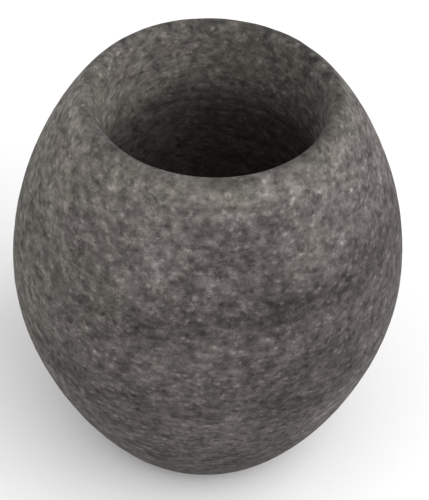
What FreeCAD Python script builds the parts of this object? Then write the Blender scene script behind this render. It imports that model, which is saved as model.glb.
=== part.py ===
"""A molcajete: a mortar carved from one egg-shaped block of dark volcanic stone.

The block stands on a small flat base, swells to a belly just above half its height and draws in to a
rounded lip. A deep bowl with a round floor is ground into it from above. The whole mortar is one piece
of stone, so the model is one solid, turned about the upright axis. Units are millimetres, +Z is up, and
the origin is the centre of the base, on the surface that the mortar stands on.
"""

import FreeCAD, Part

import math
import os

# Outside of the stone
BELLY_RADIUS = 75.0  # the widest part of the egg
BELLY_HEIGHT = 86.0  # of the widest part, above the base
HEIGHT = 165.0  # to the crest of the lip
BASE_RADIUS = 35.5  # the flat that the mortar stands on
FOOT_ROUND = 7.0  # radius of the worn edge round the base
FLANK_LEAN = 45.0  # degrees that the flank faces down where it meets the foot's round
SHOULDER_LEAN = 44.0  # degrees that the shoulder faces up where it meets the lip's round

# Fullness of the egg: how far each curve runs on along its end tangent, as a share of its height
FLANK_FULLNESS_AT_BELLY = 0.39
FLANK_FULLNESS_AT_FOOT = 0.22
SHOULDER_FULLNESS_AT_BELLY = 0.51
SHOULDER_FULLNESS_AT_LIP = 0.13

# Lip and mouth
MOUTH_RADIUS = 40.8  # the opening, just below the lip
LIP_ROUND = 3.2  # radius over the crest of the lip
WORN_ROUND = 6.8  # broader radius of the lip's inner edge, where the pestle has worn it
WORN_FROM = 50.0  # degrees above level where the crest's round passes into the worn one
MOUTH_FLARE = 3.0  # degrees that the mouth opens upwards, from the throat to the lip

# Bowl
THROAT_DEPTH = 28.0  # of the narrowest ring, below the lip's crest
BOWL_RADIUS = 41.0  # where grinding has widened the bowl below the throat
BOWL_DEPTH = 110.0  # to the lowest point of the bowl, below the lip's crest
BOWL_ROUND = 40.0  # height of the round that closes the bowl

QUARTER_ROUND = 0.5523  # share of the radius that makes a cubic curve a quarter of an ellipse


def point(radius, height):
    """A point of the outline, at a radius from the axis and a height above the base."""
    return FreeCAD.Vector(radius, 0, height)


def towards(degrees):
    """The unit vector that points out from the axis, tilted up by this many degrees."""
    angle = math.radians(degrees)
    return FreeCAD.Vector(math.cos(angle), 0, math.sin(angle))


def line(start, end):
    """A straight edge."""
    return Part.LineSegment(start, end).toShape()


def round_edge(centre, radius, first, last):
    """An arc about centre, between two directions in degrees."""
    ends = [centre + towards(degrees) * radius for degrees in (first, (first + last) / 2, last)]
    return Part.Arc(*ends).toShape()


def curve(start, leaves, arrives, end):
    """A smooth edge that leaves start and arrives at end along two given vectors."""
    bend = Part.BezierCurve()
    bend.setPoles([start, start + leaves, end - arrives, end])
    return bend.toShape()


def lip_centres():
    """The centres of the crest's round and of the worn round, which share a tangent where they meet."""
    meeting = towards(180 - WORN_FROM)
    worn_x = MOUTH_RADIUS + WORN_ROUND * math.cos(math.radians(MOUTH_FLARE))
    crest_x = worn_x + (WORN_ROUND - LIP_ROUND) * meeting.x
    crest = point(crest_x, HEIGHT - LIP_ROUND)
    worn = crest - meeting * (WORN_ROUND - LIP_ROUND)
    return crest, worn


def outside_edges(crest):
    """The edges from the centre of the base up the egg to the crest's round."""
    up = FreeCAD.Vector(0, 0, 1)
    foot = point(BASE_RADIUS, FOOT_ROUND)
    flank_start = foot + towards(-FLANK_LEAN) * FOOT_ROUND
    belly = point(BELLY_RADIUS, BELLY_HEIGHT)
    shoulder_end = crest + towards(SHOULDER_LEAN) * LIP_ROUND
    flank_height = belly.z - flank_start.z
    shoulder_height = shoulder_end.z - belly.z

    base = line(point(0, 0), point(BASE_RADIUS, 0))
    foot_edge = round_edge(foot, FOOT_ROUND, -90, -FLANK_LEAN)
    flank = curve(
        flank_start,
        towards(90 - FLANK_LEAN) * (FLANK_FULLNESS_AT_FOOT * flank_height),
        up * (FLANK_FULLNESS_AT_BELLY * flank_height),
        belly,
    )
    shoulder = curve(
        belly,
        up * (SHOULDER_FULLNESS_AT_BELLY * shoulder_height),
        towards(90 + SHOULDER_LEAN) * (SHOULDER_FULLNESS_AT_LIP * shoulder_height),
        shoulder_end,
    )
    return [base, foot_edge, flank, shoulder]


def lip_edges(crest, worn):
    """The edges over the crest and round the worn inner edge, to the top of the mouth's wall."""
    return [
        round_edge(crest, LIP_ROUND, SHOULDER_LEAN, 180 - WORN_FROM),
        round_edge(worn, WORN_ROUND, 180 - WORN_FROM, 180 - MOUTH_FLARE),
    ]


def bowl_edges(worn):
    """The edges from the top of the mouth's wall, past the throat and round the floor to the axis."""
    mouth_top = worn + towards(180 - MOUTH_FLARE) * WORN_ROUND
    throat_height = HEIGHT - THROAT_DEPTH
    flare = math.tan(math.radians(MOUTH_FLARE)) * (mouth_top.z - throat_height)
    throat = point(mouth_top.x - flare, throat_height)
    floor = point(0, HEIGHT - BOWL_DEPTH)
    widest = point(BOWL_RADIUS, floor.z + BOWL_ROUND)
    down = FreeCAD.Vector(0, 0, -QUARTER_ROUND * BOWL_ROUND)
    inward = FreeCAD.Vector(-QUARTER_ROUND * BOWL_RADIUS, 0, 0)
    return [
        line(mouth_top, throat),
        line(throat, widest),
        curve(widest, down, inward, floor),
        line(floor, point(0, 0)),
    ]


def mortar_body():
    """The carved stone, turned from its outline."""
    crest, worn = lip_centres()
    outline = Part.Wire(outside_edges(crest) + lip_edges(crest, worn) + bowl_edges(worn))
    return Part.Face(outline).revolve(FreeCAD.Vector(0, 0, 0), FreeCAD.Vector(0, 0, 1), 360)


os.makedirs("parts", exist_ok=True)
stone = mortar_body()
stone.exportStep("parts/mortar_body.step")
print(f"mortar_body: valid {stone.isValid()}, {stone.ShapeType}, {stone.Volume / 1e6:.3f} litres")
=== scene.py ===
"""The looks of a molcajete: an egg-shaped mortar carved from one block of dark volcanic stone.

The stone is one closed mesh that stands for the CAD solid. Its outline is turned about the upright
axis, and the surface is then worked inwards, as the mason's point and years of grinding leave it: a
slightly uneven egg, shallow peck marks and pores, a few chips on the lip, and worn rings in the bowl.
Three finishes share the same shader groups: the pecked outside, the ground bowl and the rubbed base.

Everything is in metres, +Z is up, and the front of the mortar faces -Y. An azimuth is counted in
degrees from the front, towards +X.
"""

import logging
import math
from dataclasses import dataclass, field
from enum import Enum

import bmesh
import bpy
from mathutils import Matrix, Vector, noise


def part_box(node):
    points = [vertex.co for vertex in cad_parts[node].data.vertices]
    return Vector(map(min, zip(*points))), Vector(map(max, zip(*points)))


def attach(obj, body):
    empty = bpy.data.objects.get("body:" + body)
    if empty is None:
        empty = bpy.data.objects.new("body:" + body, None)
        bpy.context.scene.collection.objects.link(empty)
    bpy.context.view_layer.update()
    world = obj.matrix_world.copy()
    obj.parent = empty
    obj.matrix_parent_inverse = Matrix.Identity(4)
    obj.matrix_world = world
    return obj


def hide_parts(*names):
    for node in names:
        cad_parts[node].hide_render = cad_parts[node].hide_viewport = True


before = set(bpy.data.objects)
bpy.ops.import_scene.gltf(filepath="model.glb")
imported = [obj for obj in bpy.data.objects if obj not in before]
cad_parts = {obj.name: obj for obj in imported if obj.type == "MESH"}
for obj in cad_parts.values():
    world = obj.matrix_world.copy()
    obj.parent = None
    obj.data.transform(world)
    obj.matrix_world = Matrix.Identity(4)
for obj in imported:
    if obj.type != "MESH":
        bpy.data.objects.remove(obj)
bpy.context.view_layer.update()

logger = logging.getLogger("molcajete")

Colour = tuple[float, float, float]
Turn = tuple[float, float, float]
MILLIMETRE = 0.001


# ---------------------------------------------------------------------------------------------------
# Small helpers
# ---------------------------------------------------------------------------------------------------


def smooth_step(value: float, low: float, high: float) -> float:
    """Eases a value from 0 to 1 between two limits.

    Args:
        value: the number to ease.
        low: where the result is still 0.
        high: where the result has reached 1; it may be below low.

    Returns:
        The eased share, from 0 to 1.
    """
    share = min(1.0, max(0.0, (value - low) / (high - low)))
    return share * share * (3.0 - 2.0 * share)


def swell(distance: float, reach: float) -> float:
    """A bell-shaped share: 1 at no distance, and near 0 past twice the reach.

    Args:
        distance: how far away the point is.
        reach: the distance over which the bell falls off.

    Returns:
        The share, from 0 to 1.
    """
    return math.exp(-0.5 * (distance / reach) ** 2)


def turned(degrees: float) -> Vector:
    """The unit vector in the outline's plane that points out from the axis, tilted up this much."""
    angle = math.radians(degrees)
    return Vector((math.cos(angle), 0.0, math.sin(angle)))


def azimuth_of(point: Vector) -> float:
    """The azimuth of a point in degrees, from the front towards +X."""
    return math.degrees(math.atan2(point.x, -point.y))


def azimuth_gap(first: float, second: float) -> float:
    """The signed difference of two azimuths, between -180 and 180 degrees."""
    return (first - second + 180.0) % 360.0 - 180.0


# ---------------------------------------------------------------------------------------------------
# The form of the stone
# ---------------------------------------------------------------------------------------------------


@dataclass(frozen=True)
class MortarForm:
    """The outline of the mortar, from the centre of its base round to the centre of its bowl."""

    height: float
    belly_radius: float
    belly_height: float = 0.086
    base_radius: float = 0.0355
    foot_round: float = 0.007
    flank_lean: float = 45.0
    shoulder_lean: float = 44.0
    flank_fullness: tuple[float, float] = (0.22, 0.39)
    shoulder_fullness: tuple[float, float] = (0.51, 0.13)
    mouth_radius: float = 0.0408
    lip_round: float = 0.0032
    worn_round: float = 0.0068
    worn_from: float = 50.0
    mouth_flare: float = 3.0
    throat_depth: float = 0.028
    bowl_radius: float = 0.041
    bowl_depth: float = 0.110
    bowl_round: float = 0.040
    quarter_round: float = 0.5523

    @property
    def worn_centre(self) -> Vector:
        """The centre of the worn round inside the lip."""
        meeting = turned(180.0 - self.worn_from)
        return self.crest_centre - meeting * (self.worn_round - self.lip_round)

    @property
    def crest_centre(self) -> Vector:
        """The centre of the round over the lip's crest."""
        meeting = turned(180.0 - self.worn_from)
        worn_x = self.mouth_radius + self.worn_round * math.cos(math.radians(self.mouth_flare))
        crest_x = worn_x + (self.worn_round - self.lip_round) * meeting.x
        return Vector((crest_x, 0.0, self.height - self.lip_round))

    @property
    def floor_height(self) -> float:
        """The height of the lowest point of the bowl."""
        return self.height - self.bowl_depth

    @staticmethod
    def _line(start: Vector, end: Vector, step: float) -> list[Vector]:
        """Points along a straight run, without its start."""
        count = max(1, round((end - start).length / step))
        return [start.lerp(end, i / count) for i in range(1, count + 1)]

    @staticmethod
    def _arc(centre: Vector, radius: float, first: float, last: float, step: float) -> list[Vector]:
        """Points along a round run between two directions in degrees, without its start."""
        length = radius * math.radians(abs(last - first))
        count = max(2, round(length / step))
        turns = [first + (last - first) * i / count for i in range(1, count + 1)]
        return [centre + turned(turn) * radius for turn in turns]

    @staticmethod
    def _bend(start: Vector, leaves: Vector, arrives: Vector, end: Vector, step: float) -> list[Vector]:
        """Points along a cubic run that leaves and arrives along two vectors, without its start."""
        longer_than_chord = 1.05
        count = max(4, round((end - start).length * longer_than_chord / step))
        first, second = start + leaves, end - arrives
        points = []
        for i in range(1, count + 1):
            t = i / count
            s = 1.0 - t
            near_start = s * s * s * start + 3 * s * s * t * first
            near_end = 3 * s * t * t * second + t * t * t * end
            points.append(near_start + near_end)
        return points

    def outside(self, step: float, lip_step: float) -> list[Vector]:
        """The outline from the edge of the base over the belly and the lip to the mouth's wall.

        Args:
            step: the spacing of the points on the base's edge, flank and shoulder.
            lip_step: the spacing of the points over the lip.

        Returns:
            The points in the plane y = 0, in order.
        """
        up = Vector((0.0, 0.0, 1.0))
        foot = Vector((self.base_radius, 0.0, self.foot_round))
        flank_start = foot + turned(-self.flank_lean) * self.foot_round
        belly = Vector((self.belly_radius, 0.0, self.belly_height))
        crest = self.crest_centre
        shoulder_end = crest + turned(self.shoulder_lean) * self.lip_round
        flank_rise = belly.z - flank_start.z
        shoulder_rise = shoulder_end.z - belly.z
        points = [Vector((self.base_radius, 0.0, 0.0))]
        points += self._arc(foot, self.foot_round, -90.0, -self.flank_lean, step)
        points += self._bend(
            flank_start,
            turned(90.0 - self.flank_lean) * (self.flank_fullness[0] * flank_rise),
            up * (self.flank_fullness[1] * flank_rise),
            belly,
            step,
        )
        points += self._bend(
            belly,
            up * (self.shoulder_fullness[0] * shoulder_rise),
            turned(90.0 + self.shoulder_lean) * (self.shoulder_fullness[1] * shoulder_rise),
            shoulder_end,
            step,
        )
        inward = 180.0 - self.worn_from
        points += self._arc(crest, self.lip_round, self.shoulder_lean, inward, lip_step)
        wall = 180.0 - self.mouth_flare
        points += self._arc(self.worn_centre, self.worn_round, inward, wall, lip_step)
        return points

    def bowl(self, wall_step: float, floor_step: float) -> list[Vector]:
        """The outline from the top of the mouth's wall down past the throat to the bowl's centre.

        Args:
            wall_step: the spacing of the points down the wall.
            floor_step: the spacing of the points round the floor.

        Returns:
            The points in the plane y = 0, in order, without the first.
        """
        top = self.worn_centre + turned(180.0 - self.mouth_flare) * self.worn_round
        throat_height = self.height - self.throat_depth
        flare = math.tan(math.radians(self.mouth_flare)) * (top.z - throat_height)
        throat = Vector((top.x - flare, 0.0, throat_height))
        floor = Vector((0.0, 0.0, self.floor_height))
        widest = Vector((self.bowl_radius, 0.0, floor.z + self.bowl_round))
        points = self._line(top, throat, wall_step)
        points += self._line(throat, widest, wall_step)
        points += self._bend(
            widest,
            Vector((0.0, 0.0, -self.quarter_round * self.bowl_round)),
            Vector((-self.quarter_round * self.bowl_radius, 0.0, 0.0)),
            floor,
            floor_step,
        )
        return points

    def is_inside(self, point: Vector) -> bool:
        """Whether a point of the surface belongs to the bowl or to the inner half of the lip."""
        radius = math.hypot(point.x, point.y)
        return radius < self.crest_centre.x and point.z > self.floor_height - MILLIMETRE


# ---------------------------------------------------------------------------------------------------
# What the tools and the years did to the surface
# ---------------------------------------------------------------------------------------------------


@dataclass(frozen=True)
class Chip:
    """A small flake lost from the lip."""

    azimuth: float
    width: float
    depth: float
    inward: float
    above_crest_centre: float = 0.0030
    reach_across: float = 0.0032
    reach_down: float = 0.0035

    def cut(self, azimuth: float, radius: float, height: float, crest: Vector) -> float:
        """How deep this chip cuts at a place near the lip.

        Args:
            azimuth: of the place, in degrees.
            radius: of the place from the axis.
            height: of the place above the base.
            crest: the centre of the lip's round.

        Returns:
            The depth of the cut in metres.
        """
        along = math.radians(azimuth_gap(azimuth, self.azimuth)) * crest.x
        across = radius - (crest.x - self.inward)
        down = crest.z + self.above_crest_centre - height
        level = swell(along, self.width / 2.0) * swell(across, self.reach_across)
        return self.depth * level * swell(down, self.reach_down)


@dataclass(frozen=True)
class Ring:
    """A ring that grinding has cut into the wall of the bowl."""

    depth_below_crest: float
    cut: float
    width: float
    wander: float
    waves: float = 1.6
    breaks: float = 2.1
    broken_below: float = -0.35
    whole_above: float = 0.15

    def strength(self, azimuth: float, below: float) -> float:
        """How strongly the ring shows at a place on the wall, from 0 to 1.

        Args:
            azimuth: of the place, in degrees.
            below: the depth of the place under the lip's crest.

        Returns:
            The strength; it fades out and back in round the wall.
        """
        turn = math.radians(azimuth)
        seed = self.depth_below_crest / MILLIMETRE
        round_the_wall = Vector((math.cos(turn) * self.waves, math.sin(turn) * self.waves, seed))
        middle = self.depth_below_crest + self.wander * noise.noise(round_the_wall)
        elsewhere = round_the_wall * self.breaks + Vector((7.0, 3.0, 0.0))
        fades = smooth_step(noise.noise(elsewhere), self.broken_below, self.whole_above)
        return fades * swell(below - middle, self.width)


@dataclass(frozen=True)
class Patch:
    """A lighter or darker patch, with its half width in degrees: stone tone with some painted shade on the
    outside, painted light and shade in the bowl.
    """

    azimuth: float
    height: float
    half_width: float
    half_height: float
    tone: float
    falloff: float = 0.7
    cut_off: float = 3.0

    def amount(self, azimuth: float, height: float) -> float:
        """The patch's tone at a place: positive is lighter."""
        upright = (height - self.height) / self.half_height
        if abs(upright) > self.cut_off:
            return 0.0
        across = azimuth_gap(azimuth, self.azimuth) / self.half_width
        return self.tone * math.exp(-self.falloff * (across * across + upright * upright))


@dataclass(frozen=True)
class CrestShade:
    """A painted shade on the worn crest of the lip, with its width in degrees."""

    azimuth: float
    width: float
    tone: float

    def amount(self, azimuth: float) -> float:
        """How much darker the crest is at an azimuth."""
        return self.tone * swell(azimuth_gap(azimuth, self.azimuth), self.width)


LIP_CHIPS = (
    Chip(azimuth=131.0, width=0.0055, depth=0.0008, inward=0.0022),
    Chip(azimuth=124.0, width=0.0035, depth=0.0006, inward=0.0030),
    Chip(azimuth=110.0, width=0.0045, depth=0.0007, inward=0.0024),
    Chip(azimuth=152.0, width=0.0040, depth=0.0003, inward=0.0030),
    Chip(azimuth=167.0, width=0.0060, depth=0.0003, inward=0.0034),
    Chip(azimuth=-172.0, width=0.0040, depth=0.0003, inward=0.0034),
    Chip(azimuth=-98.0, width=0.0045, depth=0.0004, inward=0.0020),
    Chip(azimuth=-141.0, width=0.0060, depth=0.0003, inward=0.0032),
)

BOWL_RINGS = (
    Ring(depth_below_crest=0.0290, cut=0.00014, width=0.0005, wander=0.0030),
    Ring(depth_below_crest=0.0350, cut=0.00030, width=0.0006, wander=0.0042),
    Ring(depth_below_crest=0.0400, cut=0.00018, width=0.0006, wander=0.0036),
    Ring(depth_below_crest=0.0500, cut=0.00014, width=0.0008, wander=0.0040),
    Ring(depth_below_crest=0.0630, cut=0.00018, width=0.0009, wander=0.0045),
    Ring(depth_below_crest=0.0760, cut=0.00014, width=0.0010, wander=0.0045),
)

# painted shade on the crest, where the lip turns away from the key light
LIP_SHADES = (
    CrestShade(azimuth=135.0, width=42.0, tone=0.110),
    CrestShade(azimuth=-50.0, width=11.0, tone=0.100),
    CrestShade(azimuth=62.0, width=18.0, tone=0.060),
    CrestShade(azimuth=-152.0, width=20.0, tone=0.055),
)

BOWL_LIGHT_AND_SHADE = (
    # painted light on the left of the wall, which faces the key light, and painted shade on its right
    Patch(azimuth=-125.0, height=0.122, half_width=40.0, half_height=0.026, tone=1.35),
    Patch(azimuth=-98.0, height=0.154, half_width=18.0, half_height=0.009, tone=0.70),
    Patch(azimuth=130.0, height=0.137, half_width=28.0, half_height=0.010, tone=-0.90),
    Patch(azimuth=110.0, height=0.127, half_width=14.0, half_height=0.012, tone=-0.80),
    # painted shade under the front of the lip
    Patch(azimuth=-47.0, height=0.162, half_width=13.0, half_height=0.006, tone=-1.10),
    Patch(azimuth=62.0, height=0.157, half_width=18.0, half_height=0.006, tone=-1.20),
)

# darker and paler patches of the outside's stone; those on the front right, from about 0 to 50 degrees,
# also carry painted shade where the key light falls strongly
STONE_PATCHES = (
    # the dark bed above the belly, from left to right
    Patch(azimuth=-12.0, height=0.119, half_width=12.0, half_height=0.004, tone=-0.45),
    Patch(azimuth=8.0, height=0.122, half_width=11.0, half_height=0.005, tone=-0.60),
    Patch(azimuth=26.0, height=0.122, half_width=10.0, half_height=0.006, tone=-1.05),
    Patch(azimuth=44.0, height=0.121, half_width=8.0, half_height=0.004, tone=-0.55),
    Patch(azimuth=60.0, height=0.124, half_width=11.0, half_height=0.007, tone=-0.95),
    Patch(azimuth=78.0, height=0.128, half_width=9.0, half_height=0.006, tone=-0.45),
    # dark spots on the shoulder
    Patch(azimuth=-6.0, height=0.139, half_width=4.0, half_height=0.003, tone=-0.75),
    Patch(azimuth=-4.0, height=0.132, half_width=4.0, half_height=0.004, tone=-0.70),
    Patch(azimuth=7.0, height=0.145, half_width=5.0, half_height=0.004, tone=-0.60),
    Patch(azimuth=-2.0, height=0.151, half_width=6.0, half_height=0.003, tone=-0.55),
    Patch(azimuth=23.0, height=0.152, half_width=5.0, half_height=0.003, tone=-0.55),
    Patch(azimuth=42.0, height=0.138, half_width=3.0, half_height=0.003, tone=-0.60),
    Patch(azimuth=-28.0, height=0.142, half_width=4.0, half_height=0.004, tone=-0.45),
    Patch(azimuth=-44.0, height=0.137, half_width=8.0, half_height=0.004, tone=-0.50),
    Patch(azimuth=-68.0, height=0.130, half_width=6.0, half_height=0.006, tone=-0.45),
    Patch(azimuth=-80.0, height=0.148, half_width=9.0, half_height=0.008, tone=-0.40),
    Patch(azimuth=72.0, height=0.147, half_width=5.0, half_height=0.005, tone=-0.45),
    Patch(azimuth=60.0, height=0.142, half_width=15.0, half_height=0.006, tone=-0.55),
    Patch(azimuth=-40.0, height=0.139, half_width=9.0, half_height=0.006, tone=-0.45),
    Patch(azimuth=-47.0, height=0.161, half_width=15.0, half_height=0.004, tone=-0.80),
    Patch(azimuth=12.0, height=0.141, half_width=13.0, half_height=0.008, tone=-0.80),
    Patch(azimuth=-24.0, height=0.150, half_width=5.0, half_height=0.005, tone=-0.70),
    Patch(azimuth=-50.0, height=0.147, half_width=16.0, half_height=0.010, tone=-0.35),
    # dark places round the belly and below it
    Patch(azimuth=-17.0, height=0.082, half_width=4.0, half_height=0.006, tone=-0.75),
    Patch(azimuth=-34.0, height=0.076, half_width=7.0, half_height=0.007, tone=-0.65),
    Patch(azimuth=-50.0, height=0.080, half_width=10.0, half_height=0.007, tone=-0.50),
    Patch(azimuth=14.0, height=0.084, half_width=9.0, half_height=0.009, tone=-0.40),
    Patch(azimuth=31.0, height=0.074, half_width=10.0, half_height=0.006, tone=-0.80),
    Patch(azimuth=35.0, height=0.101, half_width=7.0, half_height=0.005, tone=-0.50),
    Patch(azimuth=46.0, height=0.087, half_width=6.0, half_height=0.012, tone=-0.80),
    Patch(azimuth=-15.0, height=0.042, half_width=4.0, half_height=0.010, tone=-0.55),
    Patch(azimuth=10.0, height=0.036, half_width=7.0, half_height=0.008, tone=-0.45),
    # pale beds and spots
    Patch(azimuth=34.0, height=0.139, half_width=9.0, half_height=0.006, tone=0.35),
    Patch(azimuth=26.0, height=0.161, half_width=16.0, half_height=0.004, tone=0.55),
    Patch(azimuth=-11.0, height=0.134, half_width=4.0, half_height=0.004, tone=0.55),
    Patch(azimuth=1.0, height=0.131, half_width=4.0, half_height=0.003, tone=0.25),
    Patch(azimuth=2.0, height=0.101, half_width=12.0, half_height=0.019, tone=0.30),
    Patch(azimuth=42.0, height=0.054, half_width=9.0, half_height=0.014, tone=0.80),
    Patch(azimuth=-66.0, height=0.108, half_width=14.0, half_height=0.012, tone=0.45),
    Patch(azimuth=0.0, height=0.108, half_width=4.0, half_height=0.007, tone=0.60),
    Patch(azimuth=19.0, height=0.107, half_width=6.0, half_height=0.007, tone=0.65),
    Patch(azimuth=34.0, height=0.111, half_width=6.0, half_height=0.006, tone=0.45),
    Patch(azimuth=-21.0, height=0.098, half_width=13.0, half_height=0.005, tone=0.50),
    Patch(azimuth=-50.0, height=0.096, half_width=6.0, half_height=0.005, tone=0.45),
    Patch(azimuth=10.0, height=0.060, half_width=6.0, half_height=0.007, tone=0.60),
    Patch(azimuth=-3.0, height=0.063, half_width=7.0, half_height=0.008, tone=0.30),
)


@dataclass(frozen=True)
class Workmanship:
    """How far the surface is worked in from the turned form, and over what spacings."""

    sway: float = 0.00024
    sway_spacing: float = 0.048
    dressing: float = 0.00018
    dressing_spacing: float = 0.0105
    tooth: float = 0.00016
    tooth_spacing: float = 0.0042
    tooth_falloff: float = 0.9
    pore: float = 0.00055
    pore_spacing: float = 0.0075
    pore_share: float = 0.30
    pore_reach: float = 0.30
    shallow_pore: float = 0.45
    wear_reach: float = 0.0034
    smoothed_reach: float = 0.0050
    lip_smoothing: float = 0.75
    lip_pores_closed: float = 0.95
    base_share: float = 0.35
    base_middle: float = 0.15
    base_edge_from: float = 0.6
    # the cuts at which a chip's and a groove's painted shade are full
    dark_flake: float = 0.0006
    dark_groove: float = 0.00045

    def unevenness(self, point: Vector) -> float:
        """The slow sway of a form that was judged by eye."""
        return self.sway * (0.5 + 0.5 * noise.noise(point / self.sway_spacing))

    def roughness(self, point: Vector) -> float:
        """The dressing left by the point and the tooth of the broken grain."""
        dressed = self.dressing * (0.5 + 0.5 * noise.noise(point / self.dressing_spacing))
        grain = noise.fractal(point / self.tooth_spacing, self.tooth_falloff, 2.0, 2)
        return dressed + self.tooth * (0.5 + 0.4 * grain)

    def pores(self, point: Vector) -> float:
        """How strongly a pore shows at a place, from 0 to 1."""
        distances, centres = noise.voronoi(point / self.pore_spacing)
        own_cell = centres[0] * 17.3
        chance = 0.5 + 0.5 * noise.cell(own_cell)
        if chance > self.pore_share:
            return 0.0
        depth = self.shallow_pore + (1.0 - self.shallow_pore) * chance / self.pore_share
        return depth * (1.0 - smooth_step(distances[0], 0.0, self.pore_reach))


@dataclass(frozen=True)
class Shades:
    """The broad tones of the stone: how much lighter or darker each zone is than the middle tone. Some of
    them are painted light and shade, as noted at each.
    """

    top: float = 0.120
    # inner_top: painted light, paler stone on the bowl's upper wall
    inner_top: float = 0.122
    top_from: float = 0.116
    top_full: float = 0.142
    brow: float = 0.055
    brow_from: float = 0.156
    brow_full: float = 0.162
    # foot: painted shade, darker towards the bottom of the stone
    foot: float = 0.040
    foot_from: float = 0.062
    foot_full: float = 0.030
    # worn: painted shade, darker on the lip's crest, which faces up into the light
    worn: float = 0.040
    # side: painted light, paler on the left, away from the key light; side_azimuth and side_width also
    # place the olive bloom
    side: float = 0.060
    side_azimuth: float = -76.0
    side_width: float = 30.0
    # front: painted shade, darker on the front right, which the key light lights most strongly
    front: float = 0.042
    front_azimuth: float = 23.0
    front_width: float = 20.0
    patch: float = 0.100
    patch_limit: float = 1.2
    ragged_edges: tuple[tuple[float, float], ...] = ((0.0085, 0.0030), (0.0034, 0.0016))
    ragged_radius: float = 0.06
    inward_reach: float = 0.004
    bloom_from: float = 0.150
    bloom_full: float = 0.163
    inner_bloom: float = 0.80
    bare_bloom: float = -0.60
    rose: float = 1.40
    rose_azimuth: float = 40.0
    rose_width: float = 26.0
    rose_height: float = 0.133
    rose_reach: float = 0.020


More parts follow.
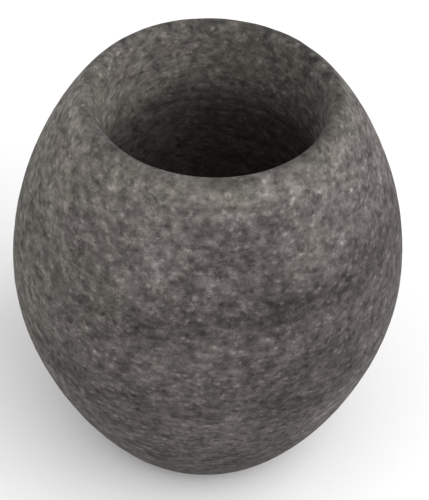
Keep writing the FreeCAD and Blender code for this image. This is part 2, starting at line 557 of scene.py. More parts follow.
@dataclass
class MortarStone:
    """The whole mortar: one carved stone in one closed mesh."""

    node: str = "mortar_body"
    slot: str = "stone"
    steps_round: int = 344
    step: float = 0.00128
    lip_step: float = 0.0007
    wall_step: float = 0.0010
    floor_step: float = 0.0016
    base_step: float = 0.0032
    work: Workmanship = field(default_factory=Workmanship)
    shades: Shades = field(default_factory=Shades)

    def __post_init__(self) -> None:
        """Takes the overall sizes from the CAD node."""
        low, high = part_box(self.node)
        self.form = MortarForm(height=high.z - low.z, belly_radius=(high.x - low.x) / 2.0)

    def build(self, finishes: "StoneFinishes") -> bpy.types.Object:
        """Turns, carves and dresses the stone.

        Args:
            finishes: the materials for its outside, bowl and base.

        Returns:
            The finished object, which rides on the root and stands for the CAD node.
        """
        shape = bmesh.new()
        self._turn(shape)
        self._carve(shape)
        self._mark_surfaces(shape)
        mesh = bpy.data.meshes.new("carved_mortar")
        shape.to_mesh(mesh)
        shape.free()
        mesh.shade_smooth()
        piece = bpy.data.objects.new("carved_mortar", mesh)
        bpy.context.scene.collection.objects.link(piece)
        for material in finishes.in_order():
            mesh.materials.append(material)
        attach(piece, "root")
        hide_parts(self.node)
        return piece

    def _turn(self, shape: bmesh.types.BMesh) -> None:
        """Spins the outline about the upright axis into a closed skin."""
        form = self.form
        base_count = round(form.base_radius / self.base_step)
        base = [Vector((form.base_radius * i / base_count, 0.0, 0.0)) for i in range(base_count)]
        outside = form.outside(self.step, self.lip_step)
        bowl = form.bowl(self.wall_step, self.floor_step)
        chain = [shape.verts.new(point) for point in base + outside + bowl]
        edges = [shape.edges.new(pair) for pair in zip(chain, chain[1:])]
        bmesh.ops.spin(
            shape,
            geom=chain + edges,
            cent=(0.0, 0.0, 0.0),
            axis=(0.0, 0.0, 1.0),
            angle=math.tau,
            steps=self.steps_round,
            use_merge=True,
        )
        bmesh.ops.remove_doubles(shape, verts=shape.verts, dist=0.01 * MILLIMETRE)
        bmesh.ops.recalc_face_normals(shape, faces=shape.faces)
        shape.normal_update()

    def _carve(self, shape: bmesh.types.BMesh) -> None:
        """Works the skin inwards, and notes on each vertex what the finishes need to know."""
        form, work = self.form, self.work
        crest = form.crest_centre
        tone_layer = shape.verts.layers.float.new("tone_and_painted_light")
        bloom_layer = shape.verts.layers.float.new("bloom")
        hollow_layer = shape.verts.layers.float.new("hollow_shade")
        wear_layer = shape.verts.layers.float.new("wear")
        bowl_layer = shape.verts.layers.float.new("in_bowl")
        moves = []
        for vertex in shape.verts:
            point, normal = vertex.co.copy(), vertex.normal.copy()
            radius, azimuth = math.hypot(point.x, point.y), azimuth_of(point)
            below = form.height - point.z
            inside = form.is_inside(point)
            near_crest = (point - self._crest_point(point)).length
            wear = swell(near_crest, work.wear_reach)
            on_base = point.z < 0.05 * MILLIMETRE and not inside

            smoothed = swell(near_crest, work.smoothed_reach)
            pores = work.pores(point) * (1.0 - work.lip_pores_closed * smoothed)
            cut = work.unevenness(point)
            cut += work.roughness(point) * (1.0 - work.lip_smoothing * smoothed)
            cut += work.pore * pores
            flaked = 0.0
            if below < 3.0 * form.worn_round:
                flaked = max(chip.cut(azimuth, radius, point.z, crest) for chip in LIP_CHIPS)
            groove = 0.0
            if inside:
                for ring in BOWL_RINGS:
                    strength = ring.strength(azimuth, below)
                    cut += ring.cut * strength
                    groove = max(groove, strength * ring.cut / work.dark_groove)
            if on_base:
                edge = smooth_step(radius, work.base_edge_from * form.base_radius, form.base_radius)
                cut *= work.base_share * (work.base_middle + edge)
            moves.append((vertex, normal * -(cut + flaked)))

            vertex[tone_layer] = self._tone_and_painted_light(point, azimuth, inside, wear)
            vertex[bloom_layer] = self._bloom(point, azimuth, inside)
            # painted shade in pores, ring grooves and chips
            vertex[hollow_layer] = max(pores, groove, min(1.0, flaked / work.dark_flake))
            vertex[wear_layer] = wear
            vertex[bowl_layer] = self._inwardness(point) if inside else 0.0
        for vertex, move in moves:
            vertex.co += move
        shape.normal_update()

    def _crest_point(self, point: Vector) -> Vector:
        """The point of the lip's crest at the same azimuth as a point."""
        crest = self.form.crest_centre
        flat = Vector((point.x, point.y, 0.0))
        out = flat.normalized() if flat.length > MILLIMETRE else Vector((1.0, 0.0, 0.0))
        return out * crest.x + Vector((0.0, 0.0, self.form.height))

    def _inwardness(self, point: Vector) -> float:
        """How far a point of the lip or the bowl lies in from the crest, eased from 0 to 1."""
        inward = self.form.crest_centre.x - math.hypot(point.x, point.y)
        return smooth_step(inward, 0.0, self.shades.inward_reach)

    def _tone_and_painted_light(self, point: Vector, azimuth: float, inside: bool, wear: float) -> float:
        """How much lighter the stone is at a place than its middle tone, painted light and shade included.

        Args:
            point: the place.
            azimuth: of the place, in degrees.
            inside: whether it is in the bowl or on the inner half of the lip.
            wear: how worn the lip is there, from 0 to 1.

        Returns:
            The tone to add; below zero is darker.
        """
        shades = self.shades
        # inside, the paler top is painted light on the bowl's upper wall
        top = shades.inner_top if inside else shades.top
        # paler towards the top, less the painted shade on the crest
        tone = top * smooth_step(point.z, shades.top_from, shades.top_full) - shades.worn * wear
        # painted shade on darker parts of the crest
        tone -= wear * sum(crest_shade.amount(azimuth) for crest_shade in LIP_SHADES)
        # painted shade: darker towards the foot
        tone -= shades.foot * smooth_step(point.z, shades.foot_from, shades.foot_full)
        if inside:
            # painted light and shade on the bowl's walls
            patches = sum(patch.amount(azimuth, point.z) for patch in BOWL_LIGHT_AND_SHADE)
            return tone + shades.patch * patches * self._inwardness(point)
        tone += shades.brow * smooth_step(point.z, shades.brow_from, shades.brow_full) * (1.0 - wear)
        # painted light: paler on the left side
        tone += shades.side * swell(azimuth_gap(azimuth, shades.side_azimuth), shades.side_width)
        # painted shade: darker on the front right
        tone -= shades.front * swell(azimuth_gap(azimuth, shades.front_azimuth), shades.front_width)
        ragged = Vector()
        for spacing, reach in shades.ragged_edges:
            ragged += noise.noise_vector(point / spacing) * reach
        degrees = math.degrees(ragged.x / shades.ragged_radius)
        # the outside's patches: stone tone, with painted shade on the front right
        patches = sum(patch.amount(azimuth + degrees, point.z + ragged.z) for patch in STONE_PATCHES)
        return tone + shades.patch * max(-shades.patch_limit, min(shades.patch_limit, patches))

    def _bloom(self, point: Vector, azimuth: float, inside: bool) -> float:
        """How olive the stone is at a place, from -1, where it is rosy, to 1.

        Args:
            point: the place.
            azimuth: of the place, in degrees.
            inside: whether it is in the bowl or on the inner half of the lip.

        Returns:
            The bloom: highest at the top and on one side, and lowest on the shoulder's rosy part.
        """
        shades = self.shades
        if inside:
            return shades.inner_bloom
        top = smooth_step(point.z, shades.bloom_from, shades.bloom_full)
        side = swell(azimuth_gap(azimuth, shades.side_azimuth), shades.side_width)
        rosy = swell(azimuth_gap(azimuth, shades.rose_azimuth), shades.rose_width)
        rosy *= swell(point.z - shades.rose_height, shades.rose_reach)
        olive = shades.bare_bloom + (1.0 - shades.bare_bloom) * max(top, side)
        return max(-1.0, min(1.0, olive - shades.rose * rosy))

    def _mark_surfaces(self, shape: bmesh.types.BMesh) -> None:
        """Gives each face the finish of the surface that it lies on."""
        form = self.form
        throat_height = form.height - form.throat_depth
        for face in shape.faces:
            centre = face.calc_center_median()
            if form.is_inside(centre) and centre.z < throat_height:
                face.material_index = Surface.BOWL.value
            elif centre.z < MILLIMETRE and face.normal.z < -0.9:
                face.material_index = Surface.BASE.value
            else:
                face.material_index = Surface.OUTSIDE.value


class Surface(Enum):
    """The surfaces of the stone, in the order of its material slots."""

    OUTSIDE = 0
    BOWL = 1
    BASE = 2


# ---------------------------------------------------------------------------------------------------
# Shader nodes
# ---------------------------------------------------------------------------------------------------


class Maths(Enum):
    """The sums that the shaders use."""

    ADD = "ADD"
    SUBTRACT = "SUBTRACT"
    MULTIPLY = "MULTIPLY"
    POWER = "POWER"
    ABSOLUTE = "ABSOLUTE"
    MAXIMUM = "MAXIMUM"


class Blend(Enum):
    """The ways in which two colours are mixed."""

    MIX = "MIX"
    MULTIPLY = "MULTIPLY"


class NodeSheet:
    """A node tree, with short ways to add nodes to it and join them."""

    def __init__(self, tree: bpy.types.NodeTree) -> None:
        """Starts on an emptied tree.

        Args:
            tree: the tree of a material, a world or a group.
        """
        self.tree = tree
        tree.nodes.clear()

    def add(self, kind: str, **settings: object) -> bpy.types.Node:
        """Adds a node.

        Args:
            kind: the node's type name.
            **settings: properties to set on it.

        Returns:
            The new node.
        """
        node = self.tree.nodes.new(kind)
        for name, value in settings.items():
            setattr(node, name, value)
        return node

    def feed(self, socket: bpy.types.NodeSocket, value: object) -> None:
        """Joins an output to a socket, or sets the socket's own value."""
        if isinstance(value, bpy.types.NodeSocket):
            self.tree.links.new(value, socket)
        else:
            socket.default_value = value

    def sum(self, operation: Maths, *values: object) -> bpy.types.NodeSocket:
        """Works out a sum of two values.

        Args:
            operation: what to do with them.
            *values: outputs or plain numbers.

        Returns:
            The output that holds the answer.
        """
        node = self.add("ShaderNodeMath", operation=operation.value)
        for socket, value in zip(node.inputs, values):
            self.feed(socket, value)
        return node.outputs["Value"]

    def scaled(self, value: bpy.types.NodeSocket, amount: object) -> bpy.types.NodeSocket:
        """A value multiplied by an amount."""
        return self.sum(Maths.MULTIPLY, value, amount)

    def about_zero(self, value: bpy.types.NodeSocket, amount: object) -> bpy.types.NodeSocket:
        """A value from 0 to 1 moved to lie about zero, then multiplied by an amount."""
        return self.scaled(self.sum(Maths.SUBTRACT, value, 0.5), amount)

    def eased(
        self, value: bpy.types.NodeSocket, low: float, high: float, first: float = 0.0, last: float = 1.0
    ) -> bpy.types.NodeSocket:
        """Eases a value from one range to another.

        Args:
            value: the output to ease.
            low: the value that gives first.
            high: the value that gives last.
            first: the result at low and below.
            last: the result at high and above.

        Returns:
            The eased output.
        """
        node = self.add("ShaderNodeMapRange", interpolation_type="SMOOTHSTEP")
        parts = {"Value": value, "From Min": low, "From Max": high, "To Min": first, "To Max": last}
        for name, part in parts.items():
            self.feed(node.inputs[name], part)
        return node.outputs["Result"]

    def noise(
        self, vector: bpy.types.NodeSocket, scale: object, detail: float = 2.0, roughness: float = 0.5
    ) -> bpy.types.NodeSocket:
        """A soft noise from 0 to 1.

        Args:
            vector: where to look it up.
            scale: how many swells fit into one unit of the vector.
            detail: how many finer layers are added.
            roughness: how strong the finer layers are.

        Returns:
            The noise output.
        """
        node = self.add("ShaderNodeTexNoise")
        parts = {"Vector": vector, "Scale": scale, "Detail": detail, "Roughness": roughness}
        for name, part in parts.items():
            self.feed(node.inputs[name], part)
        return node.outputs["Fac"]

    def cells(self, vector: bpy.types.NodeSocket, scale: object) -> bpy.types.Node:
        """Adds scattered cells, with the distance to each middle and a colour for each cell."""
        node = self.add("ShaderNodeTexVoronoi")
        self.feed(node.inputs["Vector"], vector)
        self.feed(node.inputs["Scale"], scale)
        return node

    def mixed(
        self, factor: object, first: object, second: object, kind: Blend = Blend.MIX
    ) -> bpy.types.NodeSocket:
        """Mixes two colours.

        Args:
            factor: how much of the second colour to use.
            first: the colour at 0.
            second: the colour at 1.
            kind: how they are mixed.

        Returns:
            The mixed colour.
        """
        node = self.add("ShaderNodeMix", data_type="RGBA", blend_type=kind.value)
        colours = [socket for socket in node.inputs if socket.type == "RGBA"]
        self.feed(node.inputs[0], factor)
        for socket, colour in zip(colours, (first, second)):
            plain = isinstance(colour, tuple)
            self.feed(socket, (*colour, 1.0) if plain else colour)
        return next(socket for socket in node.outputs if socket.type == "RGBA")

    def stretched(
        self, vector: bpy.types.NodeSocket, scale: tuple[float, float, float], turn: Turn
    ) -> bpy.types.NodeSocket:
        """Stretches a vector along each axis, then turns it.

        Args:
            vector: the vector to change.
            scale: how much longer it gets along each axis.
            turn: how far it is turned about each axis, in degrees.

        Returns:
            The changed vector.
        """
        node = self.add("ShaderNodeMapping")
        self.feed(node.inputs["Vector"], vector)
        self.feed(node.inputs["Rotation"], tuple(math.radians(angle) for angle in turn))
        self.feed(node.inputs["Scale"], scale)
        return node.outputs["Vector"]

    def wandering(self, vector: bpy.types.NodeSocket, scale: float, reach: float) -> bpy.types.NodeSocket:
        """A vector pushed about by a soft noise.

        Args:
            vector: the vector to push.
            scale: how many swells of the noise fit into one unit.
            reach: how far it is pushed at most.

        Returns:
            The pushed vector.
        """
        swells = self.add("ShaderNodeTexNoise")
        self.feed(swells.inputs["Vector"], vector)
        self.feed(swells.inputs["Scale"], scale)
        push = self.add("ShaderNodeVectorMath", operation="MULTIPLY_ADD")
        self.feed(push.inputs[0], swells.outputs["Color"])
        self.feed(push.inputs[1], (reach, reach, reach))
        self.feed(push.inputs[2], vector)
        return push.outputs["Vector"]

    def random_of(self, cells: bpy.types.Node, channel: str = "Red") -> bpy.types.NodeSocket:
        """A random value from 0 to 1 for each cell."""
        split = self.add("ShaderNodeSeparateColor")
        self.feed(split.inputs["Color"], cells.outputs["Color"])
        return split.outputs[channel]

    def attribute(self, name: str) -> bpy.types.NodeSocket:
        """The value that the mesh carries under a name."""
        return self.add("ShaderNodeAttribute", attribute_name=name).outputs["Fac"]

    def effect(self, group: bpy.types.NodeTree, **inputs: object) -> bpy.types.Node:
        """Places a group.

        Args:
            group: the effect to place.
            **inputs: its named inputs, with underscores for spaces.

        Returns:
            The group's node.
        """
        node = self.add("ShaderNodeGroup", node_tree=group)
        for name, value in inputs.items():
            self.feed(node.inputs[name.replace("_", " ")], value)
        return node


@dataclass(frozen=True)
class Scatter:
    """Specks in scattered cells.

    The cells are counted in a metre. The rarity is the share of them that stay bare, and the reach is how
    far a speck spreads from the middle of its cell to fade out, from a full core that is a share of it.
    """

    count: float
    rarity: float
    reach: float
    rarity_ease: float = 0.10
    core: float = 0.2


@dataclass(frozen=True)
class GrainPattern:
    """What the stone is made of. Scales are counts in a metre, and middles are where a value averages."""

    ragged_scale: float = 900.0
    ragged_reach: float = 0.0010
    crystal_scale: float = 760.0
    crystal_power: float = 1.8
    crystal_middle: float = 0.36
    crystal_height: float = 0.30
    cluster_scale: float = 340.0
    cluster_stretch: tuple[float, float, float] = (1.0, 1.0, 1.25)
    cluster_turn: Turn = (31.0, 17.0, 8.0)
    cluster_power: float = 1.5
    cluster_middle: float = 0.40
    mottle_scale: float = 235.0
    mottle_stretch: tuple[float, float, float] = (1.0, 1.0, 1.35)
    mottle_roughness: float = 0.64
    mottle_height: float = 1.6
    vein_scale: float = 300.0
    vein_width: float = 0.034
    vein_break_scale: float = 120.0
    vein_broken_below: float = 0.44
    vein_whole_above: float = 0.60
    dark_specks: Scatter = Scatter(count=330.0, rarity=0.76, reach=0.52)
    pale_specks: Scatter = Scatter(count=400.0, rarity=0.70, reach=0.55)
    dark_speck_depth: float = 0.6


@dataclass(frozen=True)
class BedPattern:
    """The beds of the stone and the streaks in them, in counts in a metre, and how they tilt."""

    tilt: Turn = (4.0, -3.0, 0.0)
    mottle_tilt: Turn = (3.0, -2.0, 0.0)
    beds: tuple[float, float, float] = (22.0, 22.0, 62.0)
    streaks: tuple[float, float, float] = (95.0, 95.0, 330.0)
    roughness: float = 0.6


@dataclass(frozen=True)
class WeatherPattern:
    """The patches of olive and rose, in counts in a metre, and how far a bloom moves them."""

    olive_scale: float = 62.0
    rose_scale: float = 48.0
    rose_turn: Turn = (60.0, 40.0, 20.0)
    roughness: float = 0.6
    olive_push: float = 0.20
    rose_push: float = 0.16
    olive_from: float = 0.50
    rose_from: float = 0.48
    full: float = 0.72


@dataclass(frozen=True)
class PeckPattern:
    """The ragged edges of the mason's bruises, and where a bruise is deepest and ends."""

    ragged_scale: float = 420.0
    ragged_reach: float = 0.0016
    floor: float = 0.05
    rim: float = 0.62


class Effects:
    """The shader groups that the finishes share, each built once."""

    def __init__(self) -> None:
        """Builds every group."""
        self.grain = self._mineral_grain(GrainPattern(), BedPattern())
        self.bedding = self._bedding(BedPattern())
        self.turning = self._turning_marks()
        self.pecks = self._peck_marks(PeckPattern())
        self.weather = self._weather_tint(WeatherPattern())

    @staticmethod
    def _open(
        name: str, inputs: dict[str, object], outputs: tuple[str, ...]
    ) -> tuple[NodeSheet, bpy.types.Node, bpy.types.Node]:
        """Starts a group.

        Args:
            name: the group's name.
            inputs: each input's name and its value; None makes a vector.
            outputs: the names of its outputs, which are all values.

        Returns:
            The sheet to build on, the node that holds the inputs and the node that takes the outputs.
        """
        tree = bpy.data.node_groups.new(name, "ShaderNodeTree")
        sheet = NodeSheet(tree)
        for label, value in inputs.items():
            kind = "NodeSocketVector" if value is None else "NodeSocketFloat"
            socket = tree.interface.new_socket(name=label, in_out="INPUT", socket_type=kind)
            if value is not None:
                socket.default_value = value
        for label in outputs:
            tree.interface.new_socket(name=label, in_out="OUTPUT", socket_type="NodeSocketFloat")
        return sheet, sheet.add("NodeGroupInput"), sheet.add("NodeGroupOutput")

    def _mineral_grain(self, grain: GrainPattern, beds: BedPattern) -> bpy.types.NodeTree:
        """Makes the group for ragged crystals of two sizes, a mottle, pale veins and scattered specks.

        Args:
            grain: the sizes of what the stone is made of.
            beds: the beds, which the mottle lies flat along.

        Returns:
            The group, which puts out a tone about zero and a height.
        """
        amounts = {
            "Crystals": 0.06,
            "Clusters": 0.05,
            "Mottle": 0.20,
            "Veins": 0.05,
            "Dark Specks": 0.08,
            "Pale Specks": 0.08,
        }
        sheet, given, made = self._open("mineral_grain", {"Vector": None, **amounts}, ("Tone", "Height"))
        vector = given.outputs["Vector"]
        ragged = sheet.wandering(vector, grain.ragged_scale, grain.ragged_reach)
        turned_place = sheet.stretched(ragged, grain.cluster_stretch, grain.cluster_turn)
        flattened = sheet.stretched(vector, grain.mottle_stretch, beds.mottle_tilt)

        crystals = sheet.random_of(sheet.cells(ragged, grain.crystal_scale))
        crystals = sheet.sum(Maths.POWER, crystals, grain.crystal_power)
        clusters = sheet.random_of(sheet.cells(turned_place, grain.cluster_scale))
        clusters = sheet.sum(Maths.POWER, clusters, grain.cluster_power)
        mottle = sheet.noise(flattened, grain.mottle_scale, detail=3.0, roughness=grain.mottle_roughness)
        dark_specks = self._specks(sheet, ragged, grain.dark_specks)
        parts = {
            "Crystals": sheet.sum(Maths.SUBTRACT, crystals, grain.crystal_middle),
            "Clusters": sheet.sum(Maths.SUBTRACT, clusters, grain.cluster_middle),
            "Mottle": sheet.sum(Maths.SUBTRACT, mottle, 0.5),
            "Veins": self._veins(sheet, vector, grain),
            "Dark Specks": sheet.scaled(dark_specks, -1.0),
            "Pale Specks": self._specks(sheet, turned_place, grain.pale_specks),
        }
        tone = 0.0
        for name, part in parts.items():
            tone = sheet.sum(Maths.ADD, sheet.scaled(part, given.outputs[name]), tone)

        height = sheet.scaled(crystals, grain.crystal_height)
        height = sheet.sum(Maths.ADD, height, sheet.about_zero(mottle, grain.mottle_height))
        height = sheet.sum(Maths.SUBTRACT, height, sheet.scaled(dark_specks, grain.dark_speck_depth))
        sheet.feed(made.inputs["Tone"], tone)
        sheet.feed(made.inputs["Height"], height)
        return sheet.tree

    @staticmethod
    def _veins(sheet: NodeSheet, vector: bpy.types.NodeSocket, grain: GrainPattern) -> bpy.types.NodeSocket:
        """Thin pale threads between the crystals, broken into short runs, from 0 to 1.

        Args:
            sheet: the sheet to build on.
            vector: where to look the threads up.
            grain: the sizes of what the stone is made of.

        Returns:
            The threads.
        """
        run = sheet.noise(vector, grain.vein_scale, detail=3.0, roughness=0.6)
        away = sheet.sum(Maths.ABSOLUTE, sheet.sum(Maths.SUBTRACT, run, 0.5))
        thread = sheet.eased(away, grain.vein_width, 0.0)
        breaks = sheet.noise(vector, grain.vein_break_scale, detail=2.0, roughness=0.5)
        return sheet.scaled(thread, sheet.eased(breaks, grain.vein_broken_below, grain.vein_whole_above))

    @staticmethod
    def _specks(sheet: NodeSheet, vector: bpy.types.NodeSocket, scatter: Scatter) -> bpy.types.NodeSocket:
        """A soft spot in the middle of some cells, from 0 to 1.

        Args:
            sheet: the sheet to build on.
            vector: where to look the cells up.
            scatter: the cells, the share of them that stay bare, and how far a spot spreads.

        Returns:
            The spots.
        """
        cells = sheet.cells(vector, scatter.count)
        rarity, reach = scatter.rarity, scatter.reach
        chosen = sheet.eased(sheet.random_of(cells, "Green"), rarity, rarity + scatter.rarity_ease)
        spot = sheet.eased(cells.outputs["Distance"], reach, scatter.core * reach)
        return sheet.scaled(chosen, spot)

    def _bedding(self, beds: BedPattern) -> bpy.types.NodeTree:
        """Slightly tilted beds in the stone, broken up along their length, as a tone about zero."""
        inputs = {"Vector": None, "Strength": 0.5, "Streaks": 0.3}
        sheet, given, made = self._open("bedding", inputs, ("Tone",))
        vector = given.outputs["Vector"]
        along_beds = sheet.stretched(vector, beds.beds, beds.tilt)
        along_streaks = sheet.stretched(vector, beds.streaks, beds.tilt)
        broad = sheet.noise(along_beds, 1.0, detail=3.0, roughness=beds.roughness)
        fine = sheet.noise(along_streaks, 1.0, detail=2.0, roughness=beds.roughness)
        broad = sheet.about_zero(broad, given.outputs["Strength"])
        fine = sheet.about_zero(fine, given.outputs["Streaks"])
        sheet.feed(made.inputs["Tone"], sheet.sum(Maths.ADD, broad, fine))
        return sheet.tree

    def _turning_marks(self) -> bpy.types.NodeTree:
        """Fine rings that run round the axis on walls and floors alike."""
        inputs = {"Vector": None, "Rings": 900.0, "Breaks": 70.0}
        sheet, given, made = self._open("turning_marks", inputs, ("Mark",))
        split = sheet.add("ShaderNodeSeparateXYZ")
        sheet.feed(split.inputs["Vector"], given.outputs["Vector"])
        flat = sheet.add("ShaderNodeCombineXYZ")
        sheet.feed(flat.inputs["X"], split.outputs["X"])
        sheet.feed(flat.inputs["Y"], split.outputs["Y"])
        length = sheet.add("ShaderNodeVectorMath", operation="LENGTH")
        sheet.feed(length.inputs[0], flat.outputs["Vector"])
        along = sheet.sum(Maths.SUBTRACT, split.outputs["Z"], length.outputs["Value"])
        placed = sheet.add("ShaderNodeCombineXYZ")
        sheet.feed(placed.inputs["X"], sheet.scaled(split.outputs["X"], given.outputs["Breaks"]))
        sheet.feed(placed.inputs["Y"], sheet.scaled(split.outputs["Y"], given.outputs["Breaks"]))
        sheet.feed(placed.inputs["Z"], sheet.scaled(along, given.outputs["Rings"]))
        mark = sheet.noise(placed.outputs["Vector"], 1.0, detail=2.0, roughness=0.55)
        sheet.feed(made.inputs["Mark"], mark)
        return sheet.tree

    def _peck_marks(self, pecks: PeckPattern) -> bpy.types.NodeTree:
        """Small bruises of the mason's point, as a height that is 1 between them."""
        sheet, given, made = self._open("peck_marks", {"Vector": None, "Count": 260.0}, ("Height",))
        ragged = sheet.wandering(given.outputs["Vector"], pecks.ragged_scale, pecks.ragged_reach)
        cells = sheet.cells(ragged, given.outputs["Count"])
        sheet.feed(made.inputs["Height"], sheet.eased(cells.outputs["Distance"], pecks.floor, pecks.rim))
        return sheet.tree

    def _weather_tint(self, weather: WeatherPattern) -> bpy.types.NodeTree:
        """Where the stone has an olive bloom, and where it turns to rose."""
        inputs = {"Vector": None, "Bloom": 0.0}
        sheet, given, made = self._open("weather_tint", inputs, ("Olive", "Rose"))
        vector, bloom = given.outputs["Vector"], given.outputs["Bloom"]
        turned_place = sheet.stretched(vector, (1.0, 1.0, 1.0), weather.rose_turn)
        olive = sheet.noise(vector, weather.olive_scale, detail=3.0, roughness=weather.roughness)
        rose = sheet.noise(turned_place, weather.rose_scale, detail=3.0, roughness=weather.roughness)
        olive = sheet.sum(Maths.ADD, olive, sheet.scaled(bloom, weather.olive_push))
        rose = sheet.sum(Maths.SUBTRACT, rose, sheet.scaled(bloom, weather.rose_push))
        sheet.feed(made.inputs["Olive"], sheet.eased(olive, weather.olive_from, weather.full))
        sheet.feed(made.inputs["Rose"], sheet.eased(rose, weather.rose_from, weather.full))
        return sheet.tree


# ---------------------------------------------------------------------------------------------------
# Finishes
# ---------------------------------------------------------------------------------------------------


@dataclass(frozen=True)
class StoneFinish:
    """One finish of the stone.

    Tones are shares of the way from its dark to its pale colour. Pecks, rings, breaks and the scale of
    the painted bowl shade are counts in a metre.
    """

    name: str
    dark: Colour = (0.0063, 0.0054, 0.0048)
    pale: Colour = (0.394, 0.354, 0.328)
    middle: float = 0.452
    contrast: float = 2.3
    grain: float = 1.0
    crystals: float = 0.066
    clusters: float = 0.060
    mottle: float = 0.600
    veins: float = 0.130
    dark_specks: float = 0.110
    pale_specks: float = 0.150
    beds: float = 0.11
    streaks: float = 0.16
    # hollows: how dark the painted shade in the hollows is
    hollows: float = 0.10
    pecks: float = 0.5
    peck_count: float = 260.0
    marks: float = 0.25
    mark_tone: float = 0.05
    mark_rings: float = 900.0
    mark_breaks: float = 70.0
    relief: float = 0.00030
    worn_relief: float = 0.45
    roughness: float = 0.90
    crystal_gloss: float = 0.5
    worn_gloss: float = 0.14
    specular: float = 0.25
    olive: Colour = (0.962, 1.0, 0.945)
    rose: Colour = (1.01, 0.988, 1.03)
    # painted shade that darkens the bowl with depth, with where it starts, where it is full, and how ragged
    # it is
    bowl_shade: float = 0.48
    bowl_shade_from: float = 0.1490
    bowl_shade_full: float = 0.1220
    bowl_shade_scale: float = 70.0
    bowl_shade_sway: float = 0.022
    residue: float = 0.0
    residue_colour: Colour = (0.040, 0.022, 0.015)
    residue_from: float = 0.112
    residue_full: float = 0.066
    residue_on_crystals: float = 0.35
    residue_tone: float = 0.08

    def material(self, effects: Effects) -> bpy.types.Material:
        """Makes the material.

        Args:
            effects: the shared shader groups.

        Returns:
            The new material.
        """
        material = bpy.data.materials.new(self.name)
        material.use_nodes = True
        sheet = NodeSheet(material.node_tree)
        place = sheet.add("ShaderNodeTexCoord").outputs["Object"]
        broad = sheet.attribute("tone_and_painted_light")
        wear = sheet.attribute("wear")
        grain = self._grain(sheet, place, broad, effects)
        marks = sheet.effect(effects.turning, Vector=place, Rings=self.mark_rings, Breaks=self.mark_breaks)
        marks = marks.outputs["Mark"]

        beds = sheet.effect(effects.bedding, Vector=place, Strength=self.beds, Streaks=self.streaks)
        tone = sheet.sum(Maths.ADD, grain.outputs["Tone"], beds.outputs["Tone"])
        tone = sheet.sum(Maths.ADD, tone, broad)
        tone = sheet.sum(Maths.ADD, tone, sheet.about_zero(marks, self.mark_tone))
        colour = self._colour(sheet, place, tone, effects)
        if self.residue > 0.0:
            residue = self._residue(sheet, place, grain.outputs["Tone"])
            colour = sheet.mixed(residue, colour, self.residue_colour)

        pecks = sheet.effect(effects.pecks, Vector=place, Count=self.peck_count)
        height = sheet.sum(
            Maths.ADD, grain.outputs["Height"], sheet.scaled(pecks.outputs["Height"], self.pecks)
        )
        height = sheet.sum(Maths.ADD, height, sheet.scaled(marks, self.marks))
        bump = sheet.add("ShaderNodeBump")
        sheet.feed(bump.inputs["Strength"], 1.0)
        sheet.feed(bump.inputs["Distance"], self.relief)
        smoother = sheet.eased(wear, 0.0, 1.0, 1.0, self.worn_relief)
        sheet.feed(bump.inputs["Height"], sheet.scaled(height, smoother))

        surface = sheet.add("ShaderNodeBsdfPrincipled")
        sheet.feed(surface.inputs["Base Color"], colour)
        sheet.feed(surface.inputs["Roughness"], self._dullness(sheet, grain.outputs["Tone"], wear))
        sheet.feed(surface.inputs["Specular IOR Level"], self.specular)
        sheet.feed(surface.inputs["Normal"], bump.outputs["Normal"])
        output = sheet.add("ShaderNodeOutputMaterial")
        sheet.feed(output.inputs["Surface"], surface.outputs["BSDF"])
        return material

    def _grain(
        self,
        sheet: NodeSheet,
        place: bpy.types.NodeSocket,
        broad: bpy.types.NodeSocket,
        effects: Effects,
    ) -> bpy.types.Node:
        """Places the mineral grain, with more mottle where the broad tone, painted light included, is pale.

        Args:
            sheet: the material's sheet.
            place: where a point of the surface lies.
            broad: the broad tone there, with its painted light and shade.
            effects: the shared shader groups.

        Returns:
            The group's node.
        """
        return sheet.effect(
            effects.grain,
            Vector=place,
            Crystals=self.crystals * self.grain,
            Clusters=self.clusters * self.grain,
            Mottle=sheet.sum(Maths.ADD, broad, self.mottle * self.grain),
            Veins=self.veins * self.grain,
            Dark_Specks=self.dark_specks * self.grain,
            Pale_Specks=self.pale_specks * self.grain,
        )

    def _colour(
        self,
        sheet: NodeSheet,
        place: bpy.types.NodeSocket,
        tone: bpy.types.NodeSocket,
        effects: Effects,
    ) -> bpy.types.NodeSocket:
        """Turns a tone about zero into the stone's colour, with painted shade in the hollows and low in the
        bowl.

        Args:
            sheet: the material's sheet.
            place: where a point of the surface lies.
            tone: the tone there.
            effects: the shared shader groups.

        Returns:
            The colour.
        """
        # painted shade in pores, ring grooves and chips
        hollow_shade = sheet.scaled(sheet.attribute("hollow_shade"), self.hollows)
        tone = sheet.sum(Maths.SUBTRACT, tone, hollow_shade)
        tone = sheet.sum(Maths.MAXIMUM, sheet.sum(Maths.ADD, tone, self.middle), 0.0)
        colour = sheet.mixed(sheet.sum(Maths.POWER, tone, self.contrast), self.dark, self.pale)
        tint = sheet.effect(effects.weather, Vector=place, Bloom=sheet.attribute("bloom"))
        colour = sheet.mixed(tint.outputs["Olive"], colour, self.olive, Blend.MULTIPLY)
        colour = sheet.mixed(tint.outputs["Rose"], colour, self.rose, Blend.MULTIPLY)
        # painted shade low in the bowl
        return sheet.mixed(self._painted_bowl_shade(sheet, place), colour, (0.0, 0.0, 0.0))

    def _dullness(
        self, sheet: NodeSheet, tone: bpy.types.NodeSocket, wear: bpy.types.NodeSocket
    ) -> bpy.types.NodeSocket:
        """The roughness: a little lower on pale crystals and on the worn lip."""
        dull = sheet.sum(Maths.SUBTRACT, self.roughness, sheet.scaled(tone, self.crystal_gloss))
        return sheet.sum(Maths.SUBTRACT, dull, sheet.scaled(wear, self.worn_gloss))

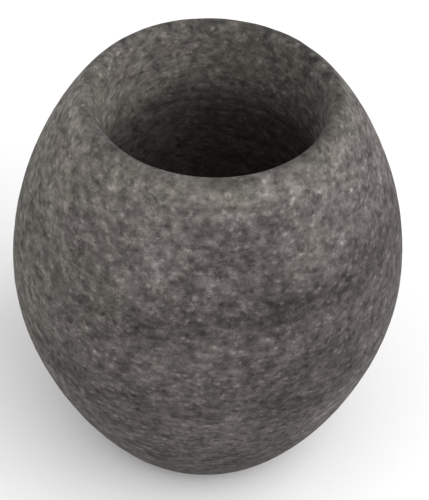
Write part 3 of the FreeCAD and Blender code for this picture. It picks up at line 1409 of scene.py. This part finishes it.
    def _painted_bowl_shade(self, sheet: NodeSheet, place: bpy.types.NodeSocket) -> bpy.types.NodeSocket:
        """How much darker the bowl is painted: painted shade that sets in a little above the throat."""
        ragged = sheet.noise(place, self.bowl_shade_scale, detail=4.0, roughness=0.65)
        ragged = sheet.about_zero(ragged, self.bowl_shade_sway)
        level = sheet.sum(Maths.ADD, self._height_of(sheet, place), ragged)
        deep = sheet.eased(level, self.bowl_shade_from, self.bowl_shade_full, 0.0, self.bowl_shade)
        return sheet.scaled(deep, sheet.attribute("in_bowl"))

    def _residue(
        self, sheet: NodeSheet, place: bpy.types.NodeSocket, tone: bpy.types.NodeSocket
    ) -> bpy.types.NodeSocket:
        """How much of the brown bloom of old grindings lies at a place: most at the bottom."""
        height = self._height_of(sheet, place)
        low = sheet.eased(height, self.residue_from, self.residue_full, 0.0, self.residue)
        held = sheet.eased(tone, self.residue_tone, -self.residue_tone, self.residue_on_crystals, 1.0)
        return sheet.scaled(low, held)

    @staticmethod
    def _height_of(sheet: NodeSheet, place: bpy.types.NodeSocket) -> bpy.types.NodeSocket:
        """The height of a place above the base."""
        split = sheet.add("ShaderNodeSeparateXYZ")
        sheet.feed(split.inputs["Vector"], place)
        return split.outputs["Z"]


@dataclass(frozen=True)
class StoneFinishes:
    """The finishes of the mortar's surfaces."""

    outside: bpy.types.Material
    bowl: bpy.types.Material
    base: bpy.types.Material

    @classmethod
    def make(cls, effects: Effects) -> "StoneFinishes":
        """Makes the three finishes from the shared groups."""
        pecked = StoneFinish("pecked_stone")
        ground = StoneFinish("ground_stone", grain=0.8, pecks=0.2, marks=0.6, mark_tone=0.10, residue=0.60)
        rubbed = StoneFinish("rubbed_base", middle=0.50, pecks=0.3, marks=0.1, relief=0.0002)
        return cls(
            outside=pecked.material(effects),
            bowl=ground.material(effects),
            base=rubbed.material(effects),
        )

    def in_order(self) -> list[bpy.types.Material]:
        """The materials in the order of the surfaces."""
        chosen = {Surface.OUTSIDE: self.outside, Surface.BOWL: self.bowl, Surface.BASE: self.base}
        return [chosen[surface] for surface in Surface]


@dataclass(frozen=True)
class PlainFinish:
    """A plain matt finish, for what isn't part of the object."""

    name: str
    colour: Colour
    roughness: float
    specular: float = 0.1

    def material(self) -> bpy.types.Material:
        """Makes the material."""
        material = bpy.data.materials.new(self.name)
        material.use_nodes = True
        surface = material.node_tree.nodes["Principled BSDF"]
        surface.inputs["Base Color"].default_value = (*self.colour, 1.0)
        surface.inputs["Roughness"].default_value = self.roughness
        surface.inputs["Specular IOR Level"].default_value = self.specular
        return material


# ---------------------------------------------------------------------------------------------------
# The studio
# ---------------------------------------------------------------------------------------------------


@dataclass(frozen=True)
class SoftLight:
    """A square soft light that faces the mortar."""

    name: str
    azimuth: float
    elevation: float
    distance: float
    width: float
    power: float
    colour: Colour = (1.0, 1.0, 1.0)

    def place(self, target: Vector) -> bpy.types.Object:
        """Puts the light in the scene.

        Args:
            target: what it faces.

        Returns:
            The light's object.
        """
        data = bpy.data.lights.new(self.name, "AREA")
        data.shape = "SQUARE"
        data.size = self.width
        data.energy = self.power
        data.color = self.colour
        light = bpy.data.objects.new(self.name, data)
        turn, rise = math.radians(self.azimuth), math.radians(self.elevation)
        level = math.cos(rise)
        out = Vector((math.sin(turn) * level, -math.cos(turn) * level, math.sin(rise)))
        facing = out.to_track_quat("Z", "Y").to_matrix().to_4x4()
        light.matrix_world = Matrix.Translation(target + out * self.distance) @ facing
        bpy.context.scene.collection.objects.link(light)
        return light


@dataclass(frozen=True)
class StudioCamera:
    """The camera: it looks down on the mortar from the front."""

    elevation: float = 43.86
    distance: float = 0.675
    lens: float = 125.6
    sensor: float = 36.0
    nearest: float = 0.01
    roll: float = 1.836
    aim_right: float = 0.0026
    aim_up: float = 0.0021

    def place(self, target: Vector) -> bpy.types.Object:
        """Puts the camera in the scene and makes it the one in use.

        Args:
            target: the point it circles: the middle of the mortar's belly.

        Returns:
            The camera's object.
        """
        data = bpy.data.cameras.new("studio_camera")
        data.lens = self.lens
        data.sensor_width = self.sensor
        data.clip_start = self.nearest
        camera = bpy.data.objects.new("studio_camera", data)
        rise = math.radians(self.elevation)
        back = Vector((0.0, -math.cos(rise), math.sin(rise)))
        right = Vector((1.0, 0.0, 0.0))
        up = back.cross(right)
        place = target + back * self.distance
        aim = target + right * self.aim_right + up * self.aim_up
        facing = (place - aim).to_track_quat("Z", "Y").to_matrix().to_4x4()
        roll = Matrix.Rotation(math.radians(self.roll), 4, "Z")
        camera.matrix_world = Matrix.Translation(place) @ facing @ roll
        bpy.context.scene.collection.objects.link(camera)
        bpy.context.scene.camera = camera
        return camera


@dataclass
class Studio:
    """A pale floor, an even white surround and soft lights."""

    floor_size: float = 8.0
    floor: PlainFinish = PlainFinish("pale_floor", (0.92, 0.92, 0.92), 0.9)
    surround: float = 0.72
    surround_colour: Colour = (1.0, 1.0, 1.0)
    lights: tuple[SoftLight, ...] = (
        SoftLight("key_light", azimuth=60.0, elevation=43.0, distance=1.8, width=2.4, power=34.5),
        SoftLight("fill_light", azimuth=-62.0, elevation=42.0, distance=1.8, width=1.6, power=5.5),
    )
    camera: StudioCamera = StudioCamera()

    def build(self, target: Vector) -> None:
        """Makes the floor, the surround, the lights and the camera.

        Args:
            target: the middle of the mortar's belly.
        """
        self._floor()
        self._world()
        for light in self.lights:
            light.place(target)
        self.camera.place(target)
        bpy.context.scene.view_settings.view_transform = "Standard"

    def _floor(self) -> None:
        """Lays the floor at the height that the mortar stands on."""
        shape = bmesh.new()
        bmesh.ops.create_grid(shape, x_segments=1, y_segments=1, size=self.floor_size / 2.0)
        mesh = bpy.data.meshes.new("floor")
        shape.to_mesh(mesh)
        shape.free()
        mesh.materials.append(self.floor.material())
        floor = bpy.data.objects.new("floor", mesh)
        bpy.context.scene.collection.objects.link(floor)

    def _world(self) -> None:
        """Lights everything evenly from a white surround."""
        world = bpy.data.worlds.new("white_surround")
        world.use_nodes = True
        background = world.node_tree.nodes["Background"]
        background.inputs["Color"].default_value = (*self.surround_colour, 1.0)
        background.inputs["Strength"].default_value = self.surround
        bpy.context.scene.world = world


def main() -> None:
    """Builds the mortar and the studio around it."""
    logging.basicConfig(level=logging.INFO, format="%(name)s: %(message)s")
    stone = MortarStone()
    piece = stone.build(StoneFinishes.make(Effects()))
    triangles = sum(len(polygon.vertices) - 2 for polygon in piece.data.polygons)
    logger.info("%s: %d triangles, for node %s", piece.name, triangles, stone.node)
    Studio().build(Vector((0.0, 0.0, stone.form.belly_height)))
    logger.info("studio: floor, surround, lights and camera")


if __name__ == "__main__":
    main()
